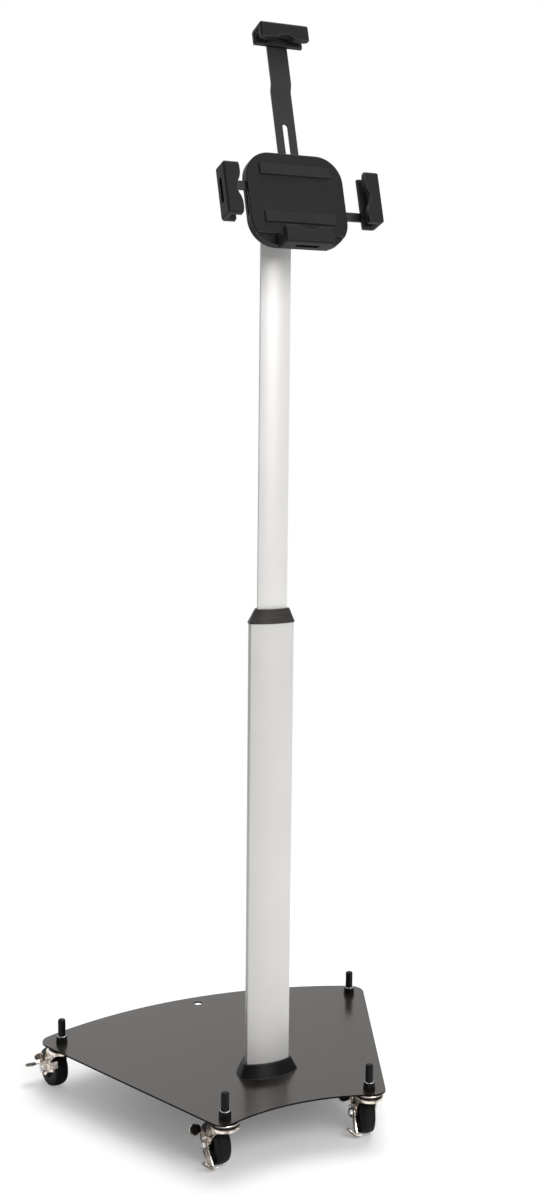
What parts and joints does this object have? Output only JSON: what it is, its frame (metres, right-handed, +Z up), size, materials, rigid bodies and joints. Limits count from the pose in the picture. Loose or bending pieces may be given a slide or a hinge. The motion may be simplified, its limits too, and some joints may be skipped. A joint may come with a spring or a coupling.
{
  "type": "rolling tablet stand",
  "caption": "Floor stand on braked swivel casters with a fan-shaped base plate, a telescoping D-section mast and a tilting, turning tablet holder with clip jaws.",
  "frame": {"origin": "on the floor under the middle of the base plate", "axes": "+Z up, +X to the user's right, the user stands on the -Y side and the plate's wide end is at +Y"},
  "size_m": [0.472, 0.353, 1.2796],
  "materials": {
    "plate_black": "black powder coat with a fine grain, satin",
    "collar_black": "moulded black, satin",
    "silver_tube": "extruded, clear anodised, satin",
    "bright_steel": "zinc plated",
    "caster_nickel": "stamped steel, bright nickel plate",
    "cap_black": "soft moulded cap",
    "nylon": "moulded nylon",
    "brass_insert": "turned",
    "knob_black": "moulded, fluted",
    "bracket_black": "black powder coat",
    "arm_steel": "black painted steel strip",
    "jaw_black": "moulded black with a fine grain",
    "foam": "closed-cell foam",
    "wheel_black": "moulded wheel centre",
    "tyre_black": "soft black tread"
  },
  "bodies": {
    "base": {"base_plate": "plate_black", "base_collar": "collar_black", "mast_foot": "nylon", "foot_screws": "bright_steel", "caster_stems": "bright_steel", "swivel_cups": "caster_nickel", "stem_washers": "bright_steel", "stem_nuts": "bright_steel", "stem_caps": "cap_black", "lower_tube": "silver_tube", "tube_ferrule": "collar_black", "guide_bush": "nylon", "lock_insert": "brass_insert", "lock_pad": "nylon"},
    "height_lock": {"lock_knob": "knob_black"},
    "mast_upper": {"upper_tube": "silver_tube", "slider_shoe": "nylon", "mast_cap": "bracket_black", "tilt_pin": "bright_steel"},
    "tilt_lock": {"tilt_knob": "knob_black"},
    "tilt_head": {"tilt_head": "bracket_black"},
    "holder": {"housing_shell": "jaw_black", "housing_cover": "jaw_black", "rubber_pads": "foam", "housing_screws": "bright_steel", "pivot_screw": "bright_steel", "clamp_nut": "bright_steel", "jaw_bottom": "jaw_black", "liner_bottom": "foam"},
    "clamp": {"clamp_knob": "knob_black"},
    "pinion": {"pinion": "nylon"},
    "arm_left": {"arm_left": "arm_steel", "jaw_left": "jaw_black", "liner_left": "foam"},
    "arm_right": {"arm_right": "arm_steel", "jaw_right": "jaw_black", "liner_right": "foam"},
    "arm_top": {"arm_top": "arm_steel", "jaw_top": "jaw_black", "liner_top": "foam"},
    "fork_rear_left": {"fork_rear_left": "caster_nickel", "axle_rear_left": "bright_steel"},
    "wheel_rear_left": {"wheel_core_rear_left": "wheel_black", "tyre_rear_left": "tyre_black"},
    "brake_rear_left": {"brake_rear_left": "caster_nickel"},
    "fork_rear_right": {"fork_rear_right": "caster_nickel", "axle_rear_right": "bright_steel"},
    "wheel_rear_right": {"wheel_core_rear_right": "wheel_black", "tyre_rear_right": "tyre_black"},
    "brake_rear_right": {"brake_rear_right": "caster_nickel"},
    "fork_front_left": {"fork_front_left": "caster_nickel", "axle_front_left": "bright_steel"},
    "wheel_front_left": {"wheel_core_front_left": "wheel_black", "tyre_front_left": "tyre_black"},
    "brake_front_left": {"brake_front_left": "caster_nickel"},
    "fork_front_right": {"fork_front_right": "caster_nickel", "axle_front_right": "bright_steel"},
    "wheel_front_right": {"wheel_core_front_right": "wheel_black", "tyre_front_right": "tyre_black"},
    "brake_front_right": {"brake_front_right": "caster_nickel"}
  },
  "joints": [
    {"name": "height_lock_turn", "type": "hinge", "parent": "base", "child": "height_lock", "pos_m": [0, -0.037, 0.5914], "axis": [0, 1, 0], "range_deg": [-540, 540]},
    {"name": "mast_height", "type": "slide", "parent": "base", "child": "mast_upper", "axis": [0, 0, 1], "range_m": [-0.28, 0.1]},
    {"name": "tilt_lock_turn", "type": "hinge", "parent": "mast_upper", "child": "tilt_lock", "pos_m": [0.029, -0.0876, 1.0741], "axis": [1, 0, 0], "range_deg": [-360, 360]},
    {"name": "holder_tilt", "type": "hinge", "parent": "mast_upper", "child": "tilt_head", "pos_m": [0, -0.0876, 1.0741], "axis": [-1, 0, 0], "range_deg": [-20, 70]},
    {"name": "holder_turn", "type": "hinge", "parent": "tilt_head", "child": "holder", "pos_m": [0, -0.11048, 1.08136], "axis": [0, -0.9532, 0.3024], "range_deg": [-90, 90]},
    {"name": "clamp_turn", "type": "hinge", "parent": "holder", "child": "clamp", "pos_m": [0, -0.09708, 1.11697], "axis": [0, 0.9532, -0.3024], "range_deg": [-360, 360]},
    {"name": "pinion_turn", "type": "hinge", "parent": "holder", "child": "pinion", "pos_m": [0, -0.12191, 1.08499], "axis": [0, 0.9532, -0.3024], "range_deg": [-96.5, 172.9]},
    {"name": "arm_left_slide", "type": "slide", "parent": "holder", "child": "arm_left", "axis": [-1, 0, 0], "range_m": [-0.018, 0.01]},
    {"name": "arm_right_slide", "type": "slide", "parent": "holder", "child": "arm_right", "axis": [1, 0, 0], "range_m": [-0.018, 0.01]},
    {"name": "arm_top_slide", "type": "slide", "parent": "holder", "child": "arm_top", "axis": [0, 0.3024, 0.9532], "range_m": [-0.05, 0.02]},
    {"name": "swivel_rear_left", "type": "hinge", "parent": "base", "child": "fork_rear_left", "pos_m": [-0.2038, 0.10789, 0.0562], "axis": [0, 0, 1], "continuous": true},
    {"name": "roll_rear_left", "type": "hinge", "parent": "fork_rear_left", "child": "wheel_rear_left", "pos_m": [-0.20794, 0.13001, 0.025], "axis": [-0.9829, -0.184, 0], "continuous": true},
    {"name": "brake_turn_rear_left", "type": "hinge", "parent": "fork_rear_left", "child": "brake_rear_left", "pos_m": [-0.20794, 0.13001, 0.025], "axis": [-0.9829, -0.184, 0], "range_deg": [-74, 0]},
    {"name": "swivel_rear_right", "type": "hinge", "parent": "base", "child": "fork_rear_right", "pos_m": [0.2038, 0.10789, 0.0562], "axis": [0, 0, 1], "continuous": true},
    {"name": "roll_rear_right", "type": "hinge", "parent": "fork_rear_right", "child": "wheel_rear_right", "pos_m": [0.21295, 0.12845, 0.025], "axis": [-0.9135, 0.4067, 0], "continuous": true},
    {"name": "brake_turn_rear_right", "type": "hinge", "parent": "fork_rear_right", "child": "brake_rear_right", "pos_m": [0.21295, 0.12845, 0.025], "axis": [-0.9135, 0.4067, 0], "range_deg": [0, 74]},
    {"name": "swivel_front_left", "type": "hinge", "parent": "base", "child": "fork_front_left", "pos_m": [-0.0924, -0.15939, 0.0562], "axis": [0, 0, 1], "continuous": true},
    {"name": "roll_front_left", "type": "hinge", "parent": "fork_front_left", "child": "wheel_front_left", "pos_m": [-0.09436, -0.13697, 0.025], "axis": [-0.9962, -0.0872, 0], "continuous": true},
    {"name": "brake_turn_front_left", "type": "hinge", "parent": "fork_front_left", "child": "brake_front_left", "pos_m": [-0.09436, -0.13697, 0.025], "axis": [-0.9962, -0.0872, 0], "range_deg": [0, 74]},
    {"name": "swivel_front_right", "type": "hinge", "parent": "base", "child": "fork_front_right", "pos_m": [0.0924, -0.15939, 0.0562], "axis": [0, 0, 1], "continuous": true},
    {"name": "roll_front_right", "type": "hinge", "parent": "fork_front_right", "child": "wheel_front_right", "pos_m": [0.09784, -0.13756, 0.025], "axis": [-0.9703, 0.2419, 0], "continuous": true},
    {"name": "brake_turn_front_right", "type": "hinge", "parent": "fork_front_right", "child": "brake_front_right", "pos_m": [0.09784, -0.13756, 0.025], "axis": [-0.9703, 0.2419, 0], "range_deg": [0, 74]}
  ],
  "couplings": [
    {"joint": "arm_right_slide", "follows": "arm_left_slide", "ratio": 1},
    {"joint": "pinion_turn", "follows": "arm_left_slide", "rad_per_m": -166.67}
  ]
}
